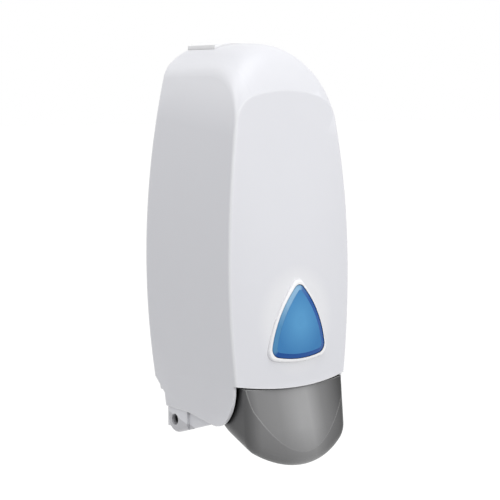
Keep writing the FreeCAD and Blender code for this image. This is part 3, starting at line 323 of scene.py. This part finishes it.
def drawn_metal(name, colour, roughness):
    """Steel with fine drawing marks and patches that are duller at random."""
    finish = Finish(name)
    dull = tuple(channel * 0.75 for channel in colour)
    marks = finish.noise(scale=900, detail=3, stretch=(0.08, 1, 1))
    worked = finish.spread(marks, NOISE_LOW, NOISE_HIGH, low=roughness * 0.8, high=roughness * 1.3)
    finish.set(Metallic=1.0, Roughness=worked)
    finish.set(Base_Color=finish.mottled(dull, colour, scale=240, detail=4))
    finish.bump(marks, strength=0.12, distance=0.0001)
    return finish


def between(low, high, share):
    return low + share * (high - low)


def window_centre():
    low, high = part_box("window_lens")
    return [between(a, b, 0.5) for a, b in zip(low, high)]


def cover_white():
    """The cover's white, with painted light round the window, on its frame, on edges and on the
    shoulders, and painted shade on the ear and in the gaps.
    """
    finish = moulded("cover_white", COVER_WHITE, roughness=0.34, shade=0.985)
    low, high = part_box("cover")
    away = finish.distance("cover", window_centre(), stretch=(1, 0, 0.85))
    # Painted halo of light round the window.
    finish.recolour(finish.under(away, RING_START, RING_END), RING_HALO_WHITE, strength=0.4)
    # Painted highlight on the raised frame round the window.
    frame_edge = low.y + FRAME_FACE_DEPTH
    raised = finish.under(finish.along("Y"), frame_edge, frame_edge + FRAME_FACE_FADE)
    finish.recolour(raised, RAISED_HIGHLIGHT_WHITE)
    # Painted highlight along the cover's edges.
    finish.recolour(finish.ridge(radius=0.0016, start=0.998, end=0.97), RAISED_HIGHLIGHT_WHITE, strength=0.7)
    # Painted light on the shoulders.
    finish.recolour(shoulder(finish, high.z - SHOULDER_DROP), SHOULDER_LIGHT_WHITE)
    # Painted shade on the hinge ear at the cover's foot.
    ear_top = low.z + EAR_RISE
    rise = finish.height_over_slope(EAR_SLOPE)
    finish.recolour(finish.under(rise, ear_top, ear_top + EAR_FADE), EAR_SHADE_GREY)
    # Painted shade in gaps and hollows.
    finish.recolour(finish.crevice(reach=0.006, start=0.15, end=0.62), GAP_SHADE)
    return finish


def shoulder(finish, top):
    """A mask for painted light on the top of the cover's sides, which reaches lower towards the front."""
    height = finish.spread(finish.height_over_slope(SHOULDER_SLOPE), top - SHOULDER_FADE, top)
    sideways = finish.spread(finish.maths("ABSOLUTE", finish.facing("X")), start=0.55, end=0.85)
    return finish.maths("MULTIPLY", height, sideways)


def blue_lens():
    """Tinted plastic, paler in the middle, with painted shade along the rim and painted light on facets
    that pale to the upper left.
    """
    finish = Finish("blue_lens")
    low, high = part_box("window_lens")
    away = finish.distance("window_lens", window_centre(), stretch=(1, 0, 0.8))
    middle = finish.spread(away, start=0.004, end=0.020, low=LENS_MIDDLE, high=LENS_OUTER)
    # Painted light and shade on the facets, paler towards the upper left.
    up_left = finish.maths("MULTIPLY_ADD", finish.facing("X"), -LEFT_WEIGHT, finish.facing("Z"))
    facet = finish.spread(up_left, start=-0.24, end=0.34, low=LENS_SHADED_FACET, high=LENS_LIT_FACET)
    flank_low, flank_high = (between(low.z, high.z, share) for share in (FLANK_LOW, FLANK_HIGH))
    lower = finish.under(finish.along("Z"), flank_low, flank_high)
    flank = finish.maths("MULTIPLY", lower, finish.spread(up_left, start=-0.05, end=0.2))
    facet = finish.tint(flank, facet, LENS_LIT_FLANK)
    front = finish.under(finish.facing("Y"), start=-0.975, end=-0.955)
    colour = finish.tint(front, facet, middle)
    # Painted shade along the rim.
    colour = finish.tint(finish.ridge(radius=0.0014, start=0.925, end=0.976), LENS_RIM_SHADE, colour)
    finish.set(Base_Color=finish.tint(finish.mottled(0.90, 1.0, scale=40), LENS_CLOUD, colour))
    finish.set(Roughness=finish.mottled(0.16, 0.22, scale=60, detail=4))
    finish.bump(finish.noise(scale=700, detail=2), strength=0.01, distance=0.0002)
    finish.set(Specular_IOR_Level=0.16, Coat_Weight=0.06, Coat_Roughness=0.08)
    return finish


def lever_grey():
    """Satin grey, with a painted sheen across it, painted shade low down and in the gaps beside the
    cover, and painted highlights on edges.
    """
    finish = moulded("lever_grey", LEVER_GREY, roughness=0.36, grain=0.03, shade=0.94)
    finish.set(Metallic=0.35, Specular_IOR_Level=0.25)
    low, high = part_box("push_lever")
    # Painted sheen across the lever.
    finish.recolour(finish.mottled(0.82, 0.95, scale=20), painted_sheen(finish, high.x))
    # Painted shade, darker towards the lever's foot.
    chin = finish.under(finish.along("Z"), low.z + CHIN_START, low.z + CHIN_END)
    finish.recolour(chin, LEVER_CHIN_SHADE, strength=0.4)
    # Painted highlight along the lever's edges.
    finish.recolour(finish.ridge(radius=0.0012, start=0.997, end=0.985), LEVER_EDGE_HIGHLIGHT, strength=0.5)
    # Painted shade in the gaps beside the cover.
    finish.recolour(finish.crevice(reach=0.012, start=0.25, end=0.70), LEVER_GAP_SHADE)
    return finish


def painted_sheen(finish, half_width):
    """The lever's grey from its left end to its right end, as a painted sheen right of the middle and
    painted shade towards the ends.
    """
    ramp = finish.add("ShaderNodeValToRGB")
    stops = ramp.color_ramp.elements
    stops[0].color = (*LEVER_LEFT_SHADE, 1)
    stops[1].color = (*LEVER_RIGHT_SHADE, 1)
    for place, grey in LEVER_SHEEN:
        stops.new(place).color = (grey, grey, grey * 1.01, 1)
    finish.feed(ramp.inputs["Fac"], finish.spread(finish.along("X"), -half_width, half_width))
    return ramp.outputs["Color"]


def plate_white():
    """The back plate's white, with painted light on the cap that shows over the cover."""
    finish = moulded("white_moulding", PLATE_WHITE, roughness=0.36, grain=0.03, shade=0.985)
    cap_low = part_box("cover")[1].z - CAP_OVERLAP
    # Painted light on the cap.
    finish.recolour(finish.spread(finish.along("Z"), cap_low, cap_low + CAP_FADE), CAP_LIGHT_WHITE)
    return finish


def bottle_white():
    finish = moulded("bottle_plastic", BOTTLE, roughness=0.38, grain=0.04, shade=0.95)
    finish.set(Subsurface_Weight=0.2, Subsurface_Radius=(0.004, 0.004, 0.004))
    return finish


def dark_plastic():
    # Near black pins, whose colour also paints the shade in the hinge holes.
    finish = moulded("dark_plastic", PIN_BLACK_AS_SHADE, roughness=0.8, grain=0.06, shade=0.8)
    finish.set(Specular_IOR_Level=0.1)
    return finish


# ---------------------------------------------------------------- pieces
def put_on(piece, finish):
    piece.data.materials.clear()
    piece.data.materials.append(finish.material)


def finish_pieces():
    natural = moulded("natural_plastic", NATURAL, roughness=0.4, grain=0.03, shade=0.94)
    acetal = moulded("acetal", ACETAL, roughness=0.45, grain=0.04, shade=0.94)
    rubber = moulded("gasket_rubber", RUBBER, roughness=0.75, grain=0.1, shade=0.7)
    steel = drawn_metal("steel", STEEL, roughness=0.3)
    spring = drawn_metal("spring_steel", SPRING_STEEL, roughness=0.25)
    wanted = (
        (plate_white(), ("back_plate",)),
        (cover_white(), ("cover",)),
        (blue_lens(), ("window_lens",)),
        (lever_grey(), ("push_lever",)),
        (bottle_white(), ("refill_bottle",)),
        (dark_plastic(), ("hinge_pins",)),
        (moulded("mesh_plastic", MESH, roughness=0.6, grain=0.2, shade=0.9), ("foam_meshes",)),
        (natural, ("bottle_cradle", "pump_cap", "pump_body", "pump_stem", "nozzle_collar", "nozzle_tip")),
        (acetal, ("latch_tongue", "piston")),
        (rubber, ("neck_gasket", "piston_seal")),
        (steel, ("lever_pivot_rod", "cradle_screws", "inlet_ball")),
        (spring, ("latch_spring", "pump_spring")),
    )
    for finish, names in wanted:
        for name in names:
            put_on(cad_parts[name], finish)
    for name, joint, travel, fixed_end in SPRINGS:
        coil(name, spring)


def coil(name, finish):
    """The spring's own mesh as a copy on the back body, in place of the imported piece."""
    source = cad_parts[name]
    piece = source.copy()
    piece.data = source.data.copy()
    piece.name = name + "_coil"
    scene.collection.objects.link(piece)
    put_on(piece, finish)
    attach(piece, "back")
    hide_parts(name)
    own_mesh(piece)


# ---------------------------------------------------------------- stage, light and camera
def seen_plainly(tree):
    """One for rays from the camera and in reflections or glass, none for rays that light things."""
    rays = tree.nodes.new("ShaderNodeLightPath")
    either = rays.outputs["Is Camera Ray"]
    for kind in ("Is Glossy Ray", "Is Transmission Ray"):
        most = tree.nodes.new("ShaderNodeMath")
        most.operation = "MAXIMUM"
        tree.links.new(either, most.inputs[0])
        tree.links.new(rays.outputs[kind], most.inputs[1])
        either = most.outputs["Value"]
    return either


def floor_paint():
    paint = Finish("floor_paint")
    paint.set(Roughness=0.9, Specular_IOR_Level=0.0, Emission_Color=PURE_WHITE)
    paint.set(Base_Color=paint.mottled(FLOOR_COLOUR, FLOOR_COLOUR, scale=3))
    paint.set(Emission_Strength=paint.maths("MULTIPLY", seen_plainly(paint.tree), FLOOR_GLOW))
    return paint


def stage():
    """A pale floor well below the dispenser, which hangs as if on a wall."""
    bpy.ops.mesh.primitive_plane_add(size=2 * FLOOR_REACH, location=(0, 0, cad_low[2] - FLOOR_DROP))
    floor = bpy.context.object
    floor.name = "floor"
    put_on(floor, floor_paint())


def background(tree, strength):
    made = tree.nodes.new("ShaderNodeBackground")
    made.inputs["Color"].default_value = (*PURE_WHITE, 1)
    made.inputs["Strength"].default_value = strength
    return made.outputs["Background"]


def world_light():
    """Even light from all round, seen as plain white behind the object and in its reflections."""
    scene.world = bpy.data.worlds.new("studio")
    scene.world.use_nodes = True
    tree = scene.world.node_tree
    tree.nodes.clear()
    out = tree.nodes.new("ShaderNodeOutputWorld")
    mix = tree.nodes.new("ShaderNodeMixShader")
    tree.links.new(seen_plainly(tree), mix.inputs["Fac"])
    tree.links.new(background(tree, WORLD_STRENGTH), mix.inputs[1])
    tree.links.new(background(tree, 1.0), mix.inputs[2])
    tree.links.new(mix.outputs["Shader"], out.inputs["Surface"])


def lamp(name, place, width, height, watts):
    data = bpy.data.lights.new(name, "AREA")
    data.shape = "RECTANGLE"
    data.size = width
    data.size_y = height
    data.energy = watts
    thing = bpy.data.objects.new(name, data)
    scene.collection.objects.link(thing)
    thing.location = place
    thing.rotation_euler = (Vector(LAMP_AIM) - Vector(place)).to_track_quat("-Z", "Y").to_euler()


def camera():
    """The view from the front left, slightly above, level with the dispenser's upper half."""
    data = bpy.data.cameras.new("view")
    data.sensor_width = SENSOR_WIDTH
    data.lens = FOCAL_LENGTH
    thing = bpy.data.objects.new("view", data)
    scene.collection.objects.link(thing)
    thing.location = CAMERA_PLACE
    thing.rotation_euler = (math.radians(90.0 - CAMERA_TIP), 0, -math.radians(CAMERA_TURN))
    scene.camera = thing


finish_pieces()
stage()
world_light()
for description in LAMPS:
    lamp(*description)
camera()
scene.view_settings.view_transform = "Standard"
